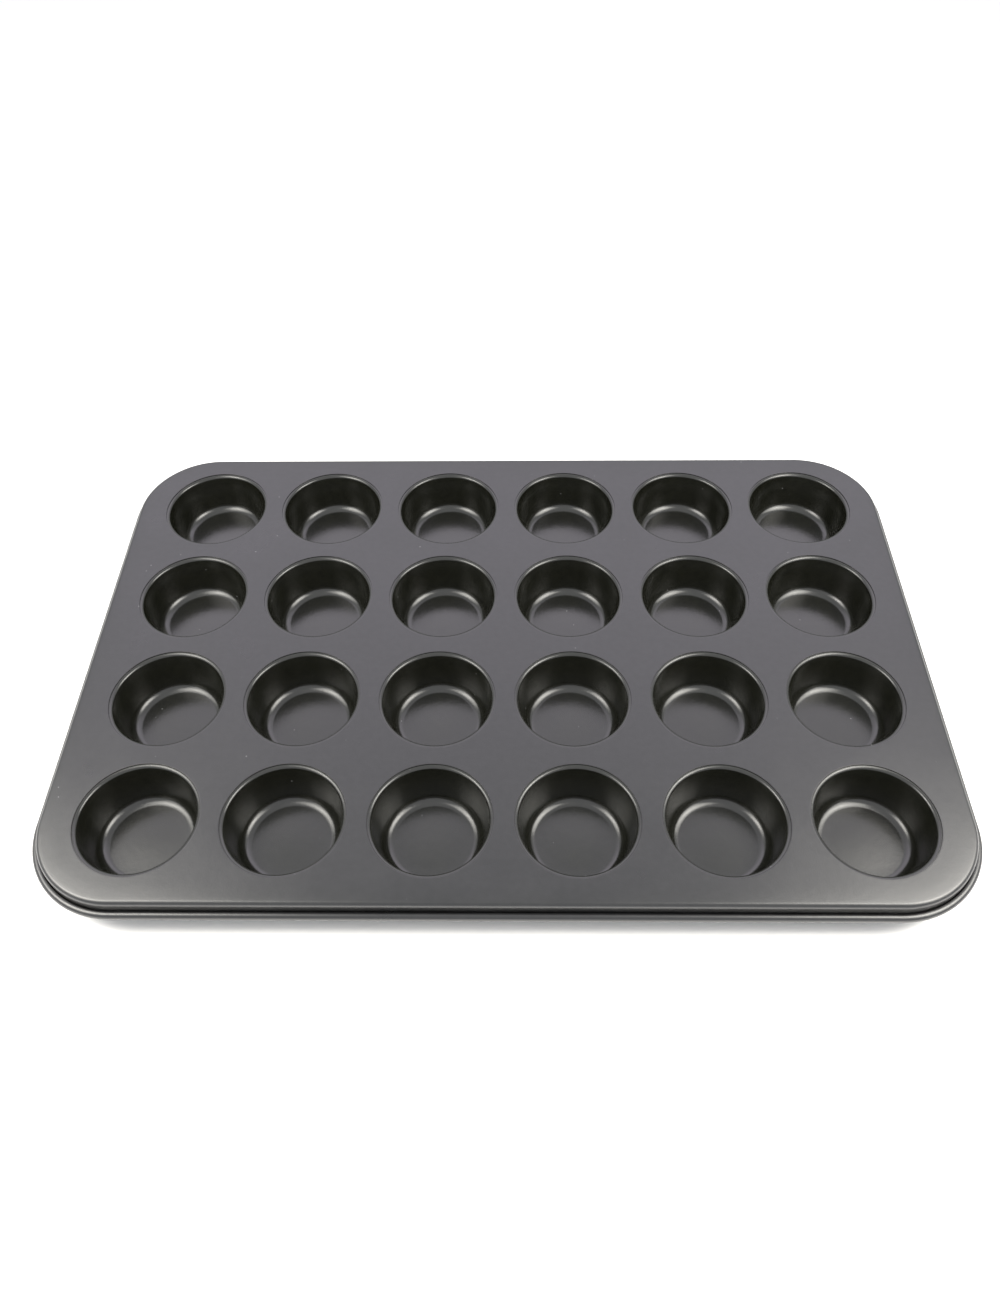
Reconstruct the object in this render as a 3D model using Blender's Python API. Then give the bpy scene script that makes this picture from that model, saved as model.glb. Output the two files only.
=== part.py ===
"""Mini-muffin tin: a pierced plate with a wired rim, and 24 drawn cups swaged into its holes.

Blender 4.5, metres, +Z up. The origin is the middle of the tin, on the surface it stands on.
+X runs along the long side and -Y is the front. The tin stands on the bottoms of its cups.

A section is a list of (distance, height) points. A cup's or a hole's distance is the radius
from its own axis, and the rim's is how far the point lies inside the tin's outer edge.
Heights in a section are measured up from the plate's top face, so most of them are negative.
"""

import math

import bmesh
import bpy

MM = 0.001

# The whole tin
COLUMNS = 6
ROWS = 4
CUP_PITCH = 60.0 * MM
TIN_LENGTH = 387.0 * MM
TIN_WIDTH = 261.0 * MM
CORNER_RADIUS = 40.0 * MM
SHEET = 0.6 * MM
CLEARANCE = 0.3 * MM

# The inside of a cup
MOUTH_RADIUS = 24.3 * MM
MOUTH_DEPTH = 0.9 * MM
CUP_DEPTH = 20.0 * MM
WALL_TAPER = math.radians(13.6)
FLOOR_FILLET = 5.5 * MM
PLATE_TOP = CUP_DEPTH + SHEET

# The joint between a cup and its hole
LIP_TOP = 0.25 * MM
LIP_WIDTH = 1.1 * MM
LIP_DROP = 0.4 * MM
SEAT_RADIUS = 25.65 * MM
SEAT_BEND = 0.55 * MM
BEAD_HEIGHT = 0.35 * MM

# The rim
SHOULDER_RADIUS = 2.0 * MM
SKIRT_FLARE = 0.2 * MM
CURL_RADIUS = 1.8 * MM
CURL_DEPTH = 7.0 * MM
CURL_SWEEP = math.radians(-295)
WIRE_RADIUS = CURL_RADIUS - SHEET - CLEARANCE

# How finely round shapes are divided
CUP_SIDES = 16
CORNER_STEPS = 8
SHOULDER_STEPS = 3
FILLET_STEPS = 3
CURL_STEPS = 9
WIRE_SIDES = 6

SHARP_ANGLE = math.radians(50)


def clear_scene():
    for old in list(bpy.data.objects):
        bpy.data.objects.remove(old, do_unlink=True)


def make_material(name, colour, roughness, metallic):
    material = bpy.data.materials.new(name)
    material.use_nodes = True
    shader = material.node_tree.nodes["Principled BSDF"]
    shader.inputs["Base Color"].default_value = (*colour, 1.0)
    shader.inputs["Roughness"].default_value = roughness
    shader.inputs["Metallic"].default_value = metallic
    return material


def arc(centre, radius, start, end, steps):
    """Points of an arc in a section, from the start angle to the end angle."""
    points = []
    for step in range(steps + 1):
        angle = start + (end - start) * step / steps
        points.append((centre[0] + radius * math.cos(angle), centre[1] + radius * math.sin(angle)))
    return points


def circle_ring(radius, height, centre=(0.0, 0.0)):
    ring = []
    for side in range(CUP_SIDES):
        angle = 2 * math.pi * side / CUP_SIDES
        x = centre[0] + radius * math.cos(angle)
        y = centre[1] + radius * math.sin(angle)
        ring.append((x, y, PLATE_TOP + height))
    return ring


def outline_ring(inset, height):
    """The tin's rounded rectangle, drawn in by inset from its outer edge."""
    ring = []
    radius = CORNER_RADIUS - inset
    corner_x = TIN_LENGTH / 2 - CORNER_RADIUS
    corner_y = TIN_WIDTH / 2 - CORNER_RADIUS
    corners = [(corner_x, corner_y), (-corner_x, corner_y), (-corner_x, -corner_y), (corner_x, -corner_y)]
    for quarter, centre in enumerate(corners):
        start = quarter * math.pi / 2
        for x, y in arc(centre, radius, start, start + math.pi / 2, CORNER_STEPS):
            ring.append((x, y, PLATE_TOP + height))
    return ring


def add_bands(bm, rings, closed=False):
    """Joins each ring of points to the next with faces, and returns the rings' vertices."""
    made = [[bm.verts.new(point) for point in ring] for ring in rings]
    pairs = list(zip(made, made[1:]))
    if closed:
        pairs.append((made[-1], made[0]))
    for low, high in pairs:
        for here in range(len(low)):
            there = (here + 1) % len(low)
            bm.faces.new((low[here], low[there], high[there], high[here]))
    return made


def ring_edges(bm, ring):
    return [bm.edges.get((ring[here - 1], ring[here])) for here in range(len(ring))]


def add_object(bm, name, material):
    bmesh.ops.recalc_face_normals(bm, faces=bm.faces)
    mesh = bpy.data.meshes.new(name)
    bm.to_mesh(mesh)
    bm.free()
    mesh.materials.append(material)
    mesh.shade_smooth()
    mesh.set_sharp_from_angle(angle=SHARP_ANGLE)
    piece = bpy.data.objects.new(name, mesh)
    bpy.context.scene.collection.objects.link(piece)
    return piece


def wall_radius(height):
    """Radius of the cup's inner wall at a height below the plate's top."""
    return MOUTH_RADIUS + (height + MOUTH_DEPTH) * math.tan(WALL_TAPER)


def cup_places():
    """Row, column and centre of every cup, from the front left."""
    for row in range(ROWS):
        for column in range(COLUMNS):
            x = (column - (COLUMNS - 1) / 2) * CUP_PITCH
            y = (row - (ROWS - 1) / 2) * CUP_PITCH
            yield row + 1, column + 1, (x, y)


def hole_radius():
    """Radius of the plate's hole, which the cup's neck passes through with clearance."""
    return neck_radius(-MOUTH_DEPTH) + CLEARANCE


def neck_radius(height):
    """Radius of the cup's outer wall, one sheet thickness out from the inner wall."""
    return wall_radius(height) + SHEET / math.cos(WALL_TAPER)


def seat_heights():
    """Top and bottom of the plate's recessed seat, below the underside of the cup's lip."""
    top = -(LIP_TOP + LIP_DROP + CLEARANCE)
    return top, top - SHEET


def cup_section():
    """The cup's section from the edge of its inner floor, up and over the lip, to its outer floor."""
    seat_top, seat_bottom = seat_heights()
    fillet_height = -CUP_DEPTH + FLOOR_FILLET
    fillet_centre = (wall_radius(fillet_height) - FLOOR_FILLET / math.cos(WALL_TAPER), fillet_height)
    inner_fillet = arc(fillet_centre, FLOOR_FILLET, -math.pi / 2, -WALL_TAPER, FILLET_STEPS)
    outer_fillet = arc(fillet_centre, FLOOR_FILLET + SHEET, -WALL_TAPER, -math.pi / 2, FILLET_STEPS)
    bead_top = seat_bottom - CLEARANCE
    bead_tip = bead_top - BEAD_HEIGHT
    bead_bottom = bead_tip - 2 * BEAD_HEIGHT
    lip = [
        (MOUTH_RADIUS, -MOUTH_DEPTH),
        (MOUTH_RADIUS + LIP_WIDTH / 2, -LIP_TOP),
        (MOUTH_RADIUS + LIP_WIDTH, -LIP_TOP - LIP_DROP),
    ]
    neck = [
        (neck_radius(-MOUTH_DEPTH), -LIP_TOP - LIP_DROP),
        (neck_radius(bead_top), bead_top),
    ]
    bead = [
        (MOUTH_RADIUS + LIP_WIDTH, bead_tip),
        (neck_radius(bead_bottom), bead_bottom),
    ]
    return inner_fillet + lip + neck + bead + outer_fillet


def hole_section():
    """The plate's section round a hole, from its top face down to the seat and back underneath."""
    seat_top, seat_bottom = seat_heights()
    return [
        (SEAT_RADIUS + SEAT_BEND, 0.0),
        (SEAT_RADIUS, seat_top),
        (hole_radius(), seat_top),
        (hole_radius(), seat_bottom),
        (SEAT_RADIUS + SHEET, seat_bottom),
        (SEAT_RADIUS + SHEET + SEAT_BEND, -SHEET),
    ]


def rim_section():
    """The rim's section, from the plate's top face over the shoulder, round the curl and back."""
    skirt_top = 2 * CURL_RADIUS - SHEET + SKIRT_FLARE
    shoulder_centre = (skirt_top + SHOULDER_RADIUS, -SHOULDER_RADIUS)
    curl_centre = (CURL_RADIUS, -CURL_DEPTH)
    upright = math.pi / 2
    outward = math.pi
    section = arc(shoulder_centre, SHOULDER_RADIUS, upright, outward, SHOULDER_STEPS)
    section += arc(curl_centre, CURL_RADIUS - SHEET, 0, CURL_SWEEP, CURL_STEPS)
    section += arc(curl_centre, CURL_RADIUS, CURL_SWEEP, 0, CURL_STEPS)
    section += arc(shoulder_centre, SHOULDER_RADIUS - SHEET, outward, upright, SHOULDER_STEPS)
    return section


def build_plate(material):
    bm = bmesh.new()
    rim = add_bands(bm, [outline_ring(inset, height) for inset, height in rim_section()])
    top_edges = ring_edges(bm, rim[0])
    under_edges = ring_edges(bm, rim[-1])
    for _, _, centre in cup_places():
        hole = add_bands(bm, [circle_ring(radius, height, centre) for radius, height in hole_section()])
        top_edges += ring_edges(bm, hole[0])
        under_edges += ring_edges(bm, hole[-1])
    bmesh.ops.triangle_fill(bm, use_beauty=True, edges=top_edges, normal=(0, 0, 1))
    bmesh.ops.triangle_fill(bm, use_beauty=True, edges=under_edges, normal=(0, 0, -1))
    return add_object(bm, "top_plate", material)


def build_wire(material):
    bm = bmesh.new()
    section = arc((CURL_RADIUS, -CURL_DEPTH), WIRE_RADIUS, 0, 2 * math.pi, WIRE_SIDES)[:-1]
    add_bands(bm, [outline_ring(inset, height) for inset, height in section], closed=True)
    return add_object(bm, "rim_wire", material)


def build_cups(material):
    bm = bmesh.new()
    rings = add_bands(bm, [circle_ring(radius, height) for radius, height in cup_section()])
    bm.faces.new(rings[0])
    bm.faces.new(rings[-1])
    first = add_object(bm, "cup_r1_c1", material)
    for row, column, centre in cup_places():
        name = f"cup_r{row}_c{column}"
        cup = first
        if name != first.name:
            cup = bpy.data.objects.new(name, first.data)
            bpy.context.scene.collection.objects.link(cup)
        cup.location = (*centre, 0.0)


def main():
    clear_scene()
    coating = make_material("non_stick_coating", (0.085, 0.085, 0.095), 0.38, 0.3)
    steel = make_material("steel_wire", (0.55, 0.54, 0.52), 0.35, 1.0)
    build_plate(coating)
    build_cups(coating)
    build_wire(steel)


main()
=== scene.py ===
"""The looks of a mini-muffin tin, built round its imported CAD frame.

Every CAD piece is stood in for by a fine mesh of the same piece: the pierced plate with its wired
rim, the 24 drawn cups, and the wire. Metres, +Z up, in the frame's own axes. The front is -Y.

A section is a list of (distance, height) points. A cup's or a hole's distance is the radius from
its own axis, and the rim's is how far the point lies inside the tin's outer edge. Heights in a
section are measured up from the plate's top face, so most of them are negative.
"""

import math

import bmesh
import bpy
from mathutils import Matrix, Vector


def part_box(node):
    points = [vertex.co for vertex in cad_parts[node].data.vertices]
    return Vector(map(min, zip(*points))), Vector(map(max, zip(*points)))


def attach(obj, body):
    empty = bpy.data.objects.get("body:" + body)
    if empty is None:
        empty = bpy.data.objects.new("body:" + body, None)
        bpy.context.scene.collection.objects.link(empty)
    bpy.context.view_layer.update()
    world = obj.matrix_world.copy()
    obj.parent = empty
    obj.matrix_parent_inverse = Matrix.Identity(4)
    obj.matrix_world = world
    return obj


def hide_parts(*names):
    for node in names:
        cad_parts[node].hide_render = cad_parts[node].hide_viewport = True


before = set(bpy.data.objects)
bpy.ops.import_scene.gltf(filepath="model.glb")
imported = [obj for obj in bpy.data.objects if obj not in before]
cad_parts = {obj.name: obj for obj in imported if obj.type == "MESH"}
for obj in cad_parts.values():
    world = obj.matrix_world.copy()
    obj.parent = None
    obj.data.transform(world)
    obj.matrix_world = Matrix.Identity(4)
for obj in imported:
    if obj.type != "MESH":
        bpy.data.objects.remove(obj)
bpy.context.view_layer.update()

MM = 0.001

# Where the CAD frame puts things
PLATE_LOW, PLATE_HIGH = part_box("top_plate")
PLATE_TOP = PLATE_HIGH.z
HALF_LENGTH = (PLATE_HIGH.x - PLATE_LOW.x) / 2
HALF_WIDTH = (PLATE_HIGH.y - PLATE_LOW.y) / 2
CUP_NODES = sorted(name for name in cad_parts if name.startswith("cup_"))

# The sheet, as in the CAD
SHEET = 0.6 * MM
CLEARANCE = 0.3 * MM

# The inside of a cup
MOUTH_RADIUS = 24.3 * MM
MOUTH_DEPTH = 0.9 * MM
CUP_DEPTH = PLATE_TOP - SHEET
WALL_TAPER = math.radians(12.5)
FLOOR_FILLET = 4.5 * MM
FLOOR_CROWN = 0.12 * MM

# The joint between a cup and its hole. The lip lies a little below the plate's top, in a seat.
LIP_TOP = -0.4 * MM
LIP_ROLL = 1.6 * MM
SEAT_RADIUS = 25.85 * MM
SEAT_GAP = 0.03 * MM
SEAT_BEND = 0.05 * MM
SEAT_TOP = -1.15 * MM
SEAT_BOTTOM = SEAT_TOP - SHEET
BEAD_RADIUS = 0.55 * MM

# The rim
CORNER_RADIUS = 40.0 * MM
EDGE_FALL = math.radians(2.5)
EDGE_FALL_RADIUS = 156 * MM
SHOULDER_RADIUS = 2.0 * MM
SKIRT_FLARE = 0.2 * MM
CURL_RADIUS = 1.8 * MM
CURL_DEPTH = 7.0 * MM
CURL_SWEEP = math.radians(-295)
WIRE_RADIUS = CURL_RADIUS - SHEET - CLEARANCE

# A narrow flat strip round each opening keeps the shading of the plate's flat faces flat
FLAT_STRIP = 0.5 * MM

# How finely round shapes are divided
CUP_SIDES = 96
CORNER_STEPS = 32
WIRE_SIDES = 16
FILLET_STEPS = 20
ROLL_STEPS = 14
ROLL_BACK_STEPS = 8
BEAD_STEPS = 8
SEAT_STEPS = 5
FALL_STEPS = 6
SHOULDER_STEPS = 12
SHOULDER_BACK_STEPS = 10
CURL_STEPS = 36
CURL_BACK_STEPS = 28
SHARP_ANGLE = math.radians(40)

# The coatings: each is mottled between its dark and light colours, and its roughness drifts
PLATE_COLOURS = (0.0040, 0.0042, 0.0045), (0.0065, 0.0066, 0.0072)
PLATE_ROUGHNESS = (0.27, 0.32)
CUP_COLOURS = (0.0036, 0.0038, 0.0022), (0.0056, 0.0058, 0.0036)
CUP_ROUGHNESS = (0.18, 0.22)
COATING_IOR = 1.8
MOTTLE_SIZE = 3.0 * MM
CLOUD_SIZE = 26.0 * MM
FINE_GRAIN_SIZE = 0.55 * MM
COARSE_GRAIN_SIZE = 1.6 * MM
GRAIN_DEPTH = 0.016 * MM
FLECK_SPACING = 7.0 * MM
FLECK_RADIUS = 0.35 * MM
FLECK_PATCH_SIZE = 9.0 * MM
FLECK_COLOUR = (0.16, 0.16, 0.165)

# The wire's steel
STEEL_COLOURS = (0.42, 0.41, 0.40), (0.60, 0.59, 0.57)
STEEL_ROUGHNESS = (0.28, 0.45)
STEEL_GRAIN_SIZE = 0.5 * MM
STEEL_GRAIN_DEPTH = 0.01 * MM

# The lights: sizes in metres, brightness as radiance
COOL = (1.0, 0.90, 1.08)
WARM = (1.0, 0.97, 0.90)
ROOM_COLOUR = (0.85, 0.86, 0.88, 1.0)
BACK_WIDE_PLACE = (0.0, 1.55, 1.58)
BACK_WIDE_SIZE = (3.0, 1.5)
BACK_WIDE_RADIANCE = 0.5
BACK_BAND_PLACE = (0.0, 1.57, 1.54)
BACK_BAND_SIZE = (2.4, 0.65)
BACK_BAND_RADIANCE = 0.4
LAMP_OUT = 0.39
LAMP_FORWARD = -0.11
LAMP_HEIGHT = 0.395
LAMP_GLOW_SIZE = (0.46, 0.40)
LAMP_HEART_SIZE = (0.19, 0.16)
LAMP_HEART_RADIANCE = 28.0
RIGHT_GLOW_RADIANCE = 2.7
LEFT_GLOW_RADIANCE = 1.7

# The ground that the tin stands on
GROUND_HALF_SIZE = 4.0
GROUND_GAP = 0.02 * MM
GROUND_COLOUR = (0.9, 0.9, 0.9, 1.0)
GROUND_ROUGHNESS = 0.9

# The camera
CAMERA_PLACE = Vector((0.0048, -0.2842, 0.3818))
CAMERA_TILT = math.radians(52.12)
CAMERA_TURN = math.radians(1.47)
CAMERA_ROLL = math.radians(-1.18)
CAMERA_LENS = 27.62
CAMERA_SENSOR = 36.0


def arc(centre, radius, start, end, steps):
    """Points of an arc in a section, from the start angle to the end angle."""
    points = []
    for step in range(steps + 1):
        angle = start + (end - start) * step / steps
        points.append((centre[0] + radius * math.cos(angle), centre[1] + radius * math.sin(angle)))
    return points


def circle_ring(radius, height, centre=(0.0, 0.0)):
    ring = []
    for side in range(CUP_SIDES):
        angle = 2 * math.pi * side / CUP_SIDES
        x = centre[0] + radius * math.cos(angle)
        y = centre[1] + radius * math.sin(angle)
        ring.append((x, y, PLATE_TOP + height))
    return ring


def outline_ring(inset, height):
    """The tin's rounded rectangle, drawn in by inset from its outer edge."""
    ring = []
    radius = CORNER_RADIUS - inset
    corner_x = HALF_LENGTH - CORNER_RADIUS
    corner_y = HALF_WIDTH - CORNER_RADIUS
    corners = [(corner_x, corner_y), (-corner_x, corner_y), (-corner_x, -corner_y), (corner_x, -corner_y)]
    for quarter, centre in enumerate(corners):
        start = quarter * math.pi / 2
        for x, y in arc(centre, radius, start, start + math.pi / 2, CORNER_STEPS):
            ring.append((x, y, PLATE_TOP + height))
    return ring


def add_bands(bm, rings, closed=False):
    """Joins each ring of points to the next with faces, and returns the rings' vertices."""
    made = [[bm.verts.new(point) for point in ring] for ring in rings]
    pairs = list(zip(made, made[1:]))
    if closed:
        pairs.append((made[-1], made[0]))
    for low, high in pairs:
        for here in range(len(low)):
            there = (here + 1) % len(low)
            bm.faces.new((low[here], low[there], high[there], high[here]))
    return made


def ring_edges(bm, ring):
    return [bm.edges.get((ring[here - 1], ring[here])) for here in range(len(ring))]


def add_piece(bm, name, node, material):
    """Makes the mesh into a piece that stands for a CAD node and rides on the tin's body."""
    bmesh.ops.recalc_face_normals(bm, faces=bm.faces)
    mesh = bpy.data.meshes.new(name)
    bm.to_mesh(mesh)
    bm.free()
    mesh.materials.append(material)
    mesh.shade_smooth()
    mesh.set_sharp_from_angle(angle=SHARP_ANGLE)
    piece = bpy.data.objects.new(name, mesh)
    bpy.context.scene.collection.objects.link(piece)
    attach(piece, "root")
    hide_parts(node)
    return piece


def wall_radius(height):
    """Radius of the cup's inner wall at a height below the plate's top."""
    return MOUTH_RADIUS + (height + MOUTH_DEPTH) * math.tan(WALL_TAPER)


def neck_radius(height):
    """Radius of the cup's outer wall, one sheet thickness out from the inner wall."""
    return wall_radius(height) + SHEET / math.cos(WALL_TAPER)


def roll_centre():
    """Centre of the lip's rounded fall, which runs from the lip's top into the cup's wall."""
    height = LIP_TOP - LIP_ROLL
    return wall_radius(height) + LIP_ROLL / math.cos(WALL_TAPER), height


def crowned_floor(edge, height):
    """Rings of the cup's inner floor, which rises a little towards its middle."""
    rings = []
    for share in (0.02, 0.25, 0.5, 0.75):
        rings.append((edge * share, height + FLOOR_CROWN * (1 - share * share) ** 2))
    return rings


def cup_section():
    """The cup's section from the middle of its inner floor, up and over the lip, to its outer floor."""
    fillet_height = -CUP_DEPTH + FLOOR_FILLET
    fillet_centre = (wall_radius(fillet_height) - FLOOR_FILLET / math.cos(WALL_TAPER), fillet_height)
    section = crowned_floor(fillet_centre[0], -CUP_DEPTH)
    section += arc(fillet_centre, FLOOR_FILLET, -math.pi / 2, -WALL_TAPER, FILLET_STEPS)

    lip_radius = SEAT_RADIUS - SEAT_GAP
    section += arc(roll_centre(), LIP_ROLL, math.pi - WALL_TAPER, math.pi / 2, ROLL_STEPS)
    section.append((lip_radius, LIP_TOP))
    section.append((lip_radius, LIP_TOP - SHEET))
    section += arc(roll_centre(), LIP_ROLL - SHEET, math.pi / 2, math.pi - WALL_TAPER, ROLL_BACK_STEPS)

    bead_centre = (neck_radius(SEAT_BOTTOM), SEAT_BOTTOM - CLEARANCE - BEAD_RADIUS)
    section += arc(bead_centre, BEAD_RADIUS, math.pi / 2, -math.pi / 2, BEAD_STEPS)
    neck_height = bead_centre[1] - 2 * BEAD_RADIUS
    section.append((neck_radius(neck_height), neck_height))

    section += arc(fillet_centre, FLOOR_FILLET + SHEET, -WALL_TAPER, -math.pi / 2, FILLET_STEPS)
    return section


def hole_section():
    """The plate's section round a hole, from its top face down to the seat and back underneath."""
    hole_radius = neck_radius(SEAT_TOP) + CLEARANCE
    section = [(SEAT_RADIUS + SEAT_BEND + FLAT_STRIP, 0.0)]
    section += arc((SEAT_RADIUS + SEAT_BEND, -SEAT_BEND), SEAT_BEND, math.pi / 2, math.pi, SEAT_STEPS)
    section.append((SEAT_RADIUS, SEAT_TOP))
    section.append((hole_radius, SEAT_TOP))
    section.append((hole_radius, SEAT_BOTTOM))
    section.append((SEAT_RADIUS + SHEET, SEAT_BOTTOM))
    section.append((SEAT_RADIUS + 2 * SHEET, -SHEET))
    section.append((SEAT_RADIUS + 2 * SHEET + FLAT_STRIP, -SHEET))
    return section


def rim_section():
    """The rim's section, from the plate's top face over the shoulder, round the curl and back."""
    upright = math.pi / 2
    outward = math.pi
    skirt_top = 2 * CURL_RADIUS - SHEET + SKIRT_FLARE
    fall_start = skirt_top + SHOULDER_RADIUS + (EDGE_FALL_RADIUS - SHOULDER_RADIUS) * math.sin(EDGE_FALL)
    fall_centre = (fall_start, -EDGE_FALL_RADIUS)
    drop = EDGE_FALL_RADIUS - EDGE_FALL_RADIUS * math.cos(EDGE_FALL)
    shoulder_centre = (skirt_top + SHOULDER_RADIUS, -drop - SHOULDER_RADIUS * math.cos(EDGE_FALL))
    curl_centre = (CURL_RADIUS, -CURL_DEPTH)

    section = [(fall_start + FLAT_STRIP, 0.0)]
    section += arc(fall_centre, EDGE_FALL_RADIUS, upright, upright + EDGE_FALL, FALL_STEPS)
    section += arc(shoulder_centre, SHOULDER_RADIUS, upright + EDGE_FALL, outward, SHOULDER_STEPS)[1:]
    section += arc(curl_centre, CURL_RADIUS - SHEET, 0, CURL_SWEEP, CURL_BACK_STEPS)
    section += arc(curl_centre, CURL_RADIUS, CURL_SWEEP, 0, CURL_STEPS)
    shoulder_back_radius = SHOULDER_RADIUS - SHEET
    section += arc(shoulder_centre, shoulder_back_radius, outward, upright + EDGE_FALL, SHOULDER_BACK_STEPS)
    section += arc(fall_centre, EDGE_FALL_RADIUS - SHEET, upright + EDGE_FALL, upright, FALL_STEPS)[1:]
    section.append((fall_start + FLAT_STRIP, -SHEET))
    return section


def cup_centre(node):
    low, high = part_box(node)
    return (low.x + high.x) / 2, (low.y + high.y) / 2


def build_plate(material):
    bm = bmesh.new()
    rim = add_bands(bm, [outline_ring(inset, height) for inset, height in rim_section()])
    top_edges = ring_edges(bm, rim[0])
    under_edges = ring_edges(bm, rim[-1])
    for node in CUP_NODES:
        centre = cup_centre(node)
        hole = add_bands(bm, [circle_ring(radius, height, centre) for radius, height in hole_section()])
        top_edges += ring_edges(bm, hole[0])
        under_edges += ring_edges(bm, hole[-1])
    bmesh.ops.triangle_fill(bm, use_beauty=True, edges=top_edges, normal=(0, 0, 1))
    bmesh.ops.triangle_fill(bm, use_beauty=True, edges=under_edges, normal=(0, 0, -1))
    return add_piece(bm, "plate_sheet", "top_plate", material)


def build_wire(material):
    bm = bmesh.new()
    section = arc((CURL_RADIUS, -CURL_DEPTH), WIRE_RADIUS, 0, 2 * math.pi, WIRE_SIDES)[:-1]
    add_bands(bm, [outline_ring(inset, height) for inset, height in section], closed=True)
    return add_piece(bm, "wire_loop", "rim_wire", material)


def build_cups(material):
    for node in CUP_NODES:
        bm = bmesh.new()
        centre = cup_centre(node)
        rings = add_bands(bm, [circle_ring(radius, height, centre) for radius, height in cup_section()])
        bm.faces.new(rings[0])
        bm.faces.new(rings[-1])
        add_piece(bm, node.replace("cup_", "drawn_cup_"), node, material)


class Nodes:
    """A material's node tree, with short ways to add what the materials here use."""

    def __init__(self, name):
        self.material = bpy.data.materials.new(name)
        self.material.use_nodes = True
        self.tree = self.material.node_tree
        self.shader = self.tree.nodes["Principled BSDF"]
        self.place = self.tree.nodes.new("ShaderNodeTexCoord").outputs["Object"]

    def link(self, output, node, name):
        self.tree.links.new(output, node.inputs[name])

    def noise(self, size, detail=2.0):
        """Noise whose features are about size across."""
        node = self.tree.nodes.new("ShaderNodeTexNoise")
        node.inputs["Scale"].default_value = 1 / size
        node.inputs["Detail"].default_value = detail
        self.link(self.place, node, "Vector")
        return node.outputs["Fac"]

    def spots(self, spacing, radius):
        """1 inside small round spots scattered about spacing apart, and 0 elsewhere."""
        node = self.tree.nodes.new("ShaderNodeTexVoronoi")
        node.inputs["Scale"].default_value = 1 / spacing
        self.link(self.place, node, "Vector")
        edge = radius / spacing
        return self.rescale(node.outputs["Distance"], edge, edge * 0.5, 0.0, 1.0)

    def rescale(self, value, from_low, from_high, to_low, to_high):
        node = self.tree.nodes.new("ShaderNodeMapRange")
        node.inputs["From Min"].default_value = from_low
        node.inputs["From Max"].default_value = from_high
        node.inputs["To Min"].default_value = to_low
        node.inputs["To Max"].default_value = to_high
        self.link(value, node, "Value")
        return node.outputs["Result"]

    def times(self, first, second):
        node = self.tree.nodes.new("ShaderNodeMath")
        node.operation = "MULTIPLY"
        self.tree.links.new(first, node.inputs[0])
        self.tree.links.new(second, node.inputs[1])
        return node.outputs["Value"]

    def plus(self, first, second):
        node = self.tree.nodes.new("ShaderNodeMath")
        node.operation = "ADD"
        self.tree.links.new(first, node.inputs[0])
        self.tree.links.new(second, node.inputs[1])
        return node.outputs["Value"]

    def mix_colours(self, share, low, high):
        """The colour low where share is 0 and high where it is 1. Either may be another output."""
        node = self.tree.nodes.new("ShaderNodeMix")
        node.data_type = "RGBA"
        self.tree.links.new(share, node.inputs["Factor"])
        for colour, socket in ((low, node.inputs[6]), (high, node.inputs[7])):
            if isinstance(colour, bpy.types.NodeSocket):
                self.tree.links.new(colour, socket)
            else:
                socket.default_value = (*colour, 1.0)
        return node.outputs[2]

    def bump(self, height, distance):
        node = self.tree.nodes.new("ShaderNodeBump")
        node.inputs["Distance"].default_value = distance
        self.link(height, node, "Height")
        self.link(node.outputs["Normal"], self.shader, "Normal")


def coating_material(name, colours, roughness):
    """Satin non-stick coating: dark, faintly mottled, finely grained, with a few light flecks."""
    nodes = Nodes(name)
    mottle = nodes.rescale(nodes.noise(MOTTLE_SIZE, detail=5.0), 0.35, 0.65, 0.0, 1.0)
    colour = nodes.mix_colours(mottle, *colours)
    fleck_spots = nodes.spots(FLECK_SPACING, FLECK_RADIUS)
    fleck_patches = nodes.rescale(nodes.noise(FLECK_PATCH_SIZE), 0.5, 0.62, 0.0, 1.0)
    colour = nodes.mix_colours(nodes.times(fleck_spots, fleck_patches), colour, FLECK_COLOUR)
    nodes.link(colour, nodes.shader, "Base Color")
    cloud = nodes.rescale(nodes.noise(CLOUD_SIZE, detail=3.0), 0.3, 0.7, *roughness)
    nodes.link(cloud, nodes.shader, "Roughness")
    fine_grain = nodes.noise(FINE_GRAIN_SIZE, detail=1.0)
    grain = nodes.plus(fine_grain, nodes.times(mottle, nodes.noise(COARSE_GRAIN_SIZE)))
    nodes.bump(grain, GRAIN_DEPTH)
    nodes.shader.inputs["Metallic"].default_value = 0.0
    nodes.shader.inputs["IOR"].default_value = COATING_IOR
    return nodes.material


def wire_material():
    """Bare steel wire, finely and unevenly marked."""
    nodes = Nodes("drawn_wire")
    marks = nodes.noise(STEEL_GRAIN_SIZE, detail=3.0)
    nodes.link(nodes.mix_colours(marks, *STEEL_COLOURS), nodes.shader, "Base Color")
    nodes.link(nodes.rescale(marks, 0.3, 0.7, *STEEL_ROUGHNESS), nodes.shader, "Roughness")
    nodes.bump(marks, STEEL_GRAIN_DEPTH)
    nodes.shader.inputs["Metallic"].default_value = 1.0
    return nodes.material


def add_camera():
    data = bpy.data.cameras.new("camera")
    data.sensor_width = CAMERA_SENSOR
    data.lens = CAMERA_LENS
    data.clip_start = 0.01
    camera = bpy.data.objects.new("camera", data)
    turn = Matrix.Rotation(CAMERA_TURN, 4, "Z")
    tilt = Matrix.Rotation(math.pi / 2 - CAMERA_TILT, 4, "X")
    roll = Matrix.Rotation(CAMERA_ROLL, 4, "Z")
    camera.matrix_world = Matrix.Translation(CAMERA_PLACE) @ turn @ tilt @ roll
    bpy.context.scene.collection.objects.link(camera)
    bpy.context.scene.camera = camera


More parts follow.
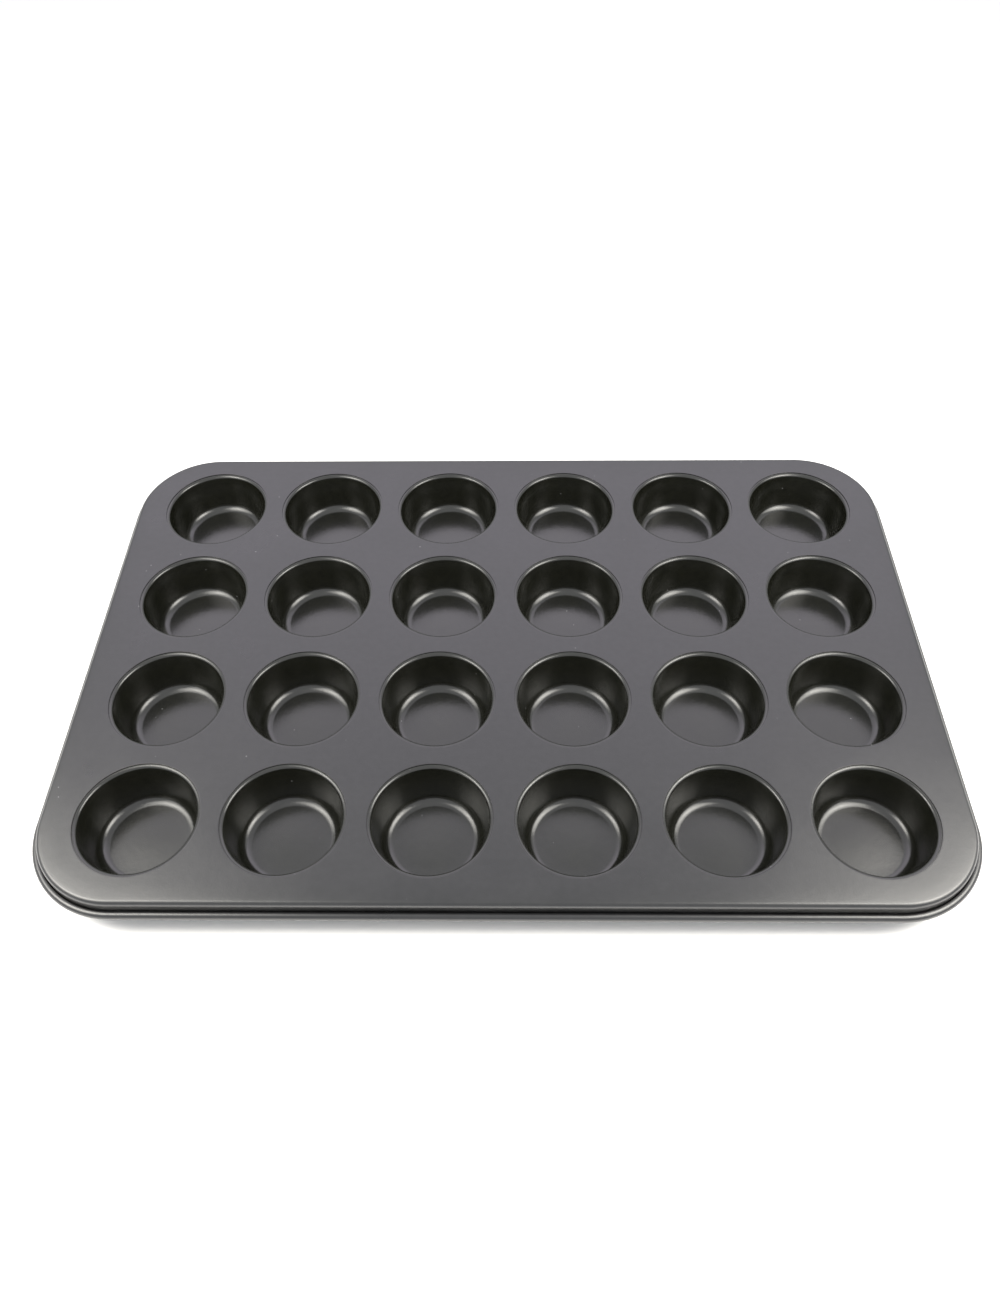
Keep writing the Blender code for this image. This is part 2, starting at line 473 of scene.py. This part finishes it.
def add_softbox(name, place, size, radiance, colour):
    """An area light facing the tin. Its brightness is stated as seen, whatever its size."""
    data = bpy.data.lights.new(name, "AREA")
    data.shape = "RECTANGLE"
    data.size = size[0]
    data.size_y = size[1]
    data.energy = radiance * math.pi * size[0] * size[1]
    data.color = colour
    light = bpy.data.objects.new(name, data)
    place = Vector(place)
    light.matrix_world = Matrix.Translation(place) @ (-place).to_track_quat("-Z", "Y").to_matrix().to_4x4()
    bpy.context.scene.collection.objects.link(light)


def add_lights():
    """A pale room, a wide soft light behind the tin, and a small warm lamp close to each side of it.

    A wide dim light and a small bright one in the same place make a light that fades at its edges.
    """
    add_softbox("back_wide", BACK_WIDE_PLACE, BACK_WIDE_SIZE, BACK_WIDE_RADIANCE, COOL)
    add_softbox("back_band", BACK_BAND_PLACE, BACK_BAND_SIZE, BACK_BAND_RADIANCE, COOL)
    for side, name, glow in ((1, "right", RIGHT_GLOW_RADIANCE), (-1, "left", LEFT_GLOW_RADIANCE)):
        place = (side * LAMP_OUT, LAMP_FORWARD, LAMP_HEIGHT)
        add_softbox(name + "_lamp_glow", place, LAMP_GLOW_SIZE, glow, WARM)
        add_softbox(name + "_lamp_heart", place, LAMP_HEART_SIZE, LAMP_HEART_RADIANCE, WARM)
    world = bpy.data.worlds.new("studio")
    world.use_nodes = True
    world.node_tree.nodes["Background"].inputs["Color"].default_value = ROOM_COLOUR
    bpy.context.scene.world = world


def add_floor():
    bm = bmesh.new()
    bmesh.ops.create_grid(bm, x_segments=1, y_segments=1, size=GROUND_HALF_SIZE)
    mesh = bpy.data.meshes.new("floor")
    bm.to_mesh(mesh)
    bm.free()
    material = bpy.data.materials.new("pale_floor")
    material.use_nodes = True
    shader = material.node_tree.nodes["Principled BSDF"]
    shader.inputs["Base Color"].default_value = GROUND_COLOUR
    shader.inputs["Roughness"].default_value = GROUND_ROUGHNESS
    mesh.materials.append(material)
    floor = bpy.data.objects.new("floor", mesh)
    floor.location.z = -GROUND_GAP
    bpy.context.scene.collection.objects.link(floor)


def main():
    add_camera()
    add_lights()
    add_floor()
    build_plate(coating_material("plate_coating", PLATE_COLOURS, PLATE_ROUGHNESS))
    build_cups(coating_material("cup_coating", CUP_COLOURS, CUP_ROUGHNESS))
    build_wire(wire_material())
    bpy.context.scene.view_settings.view_transform = "Standard"


main()
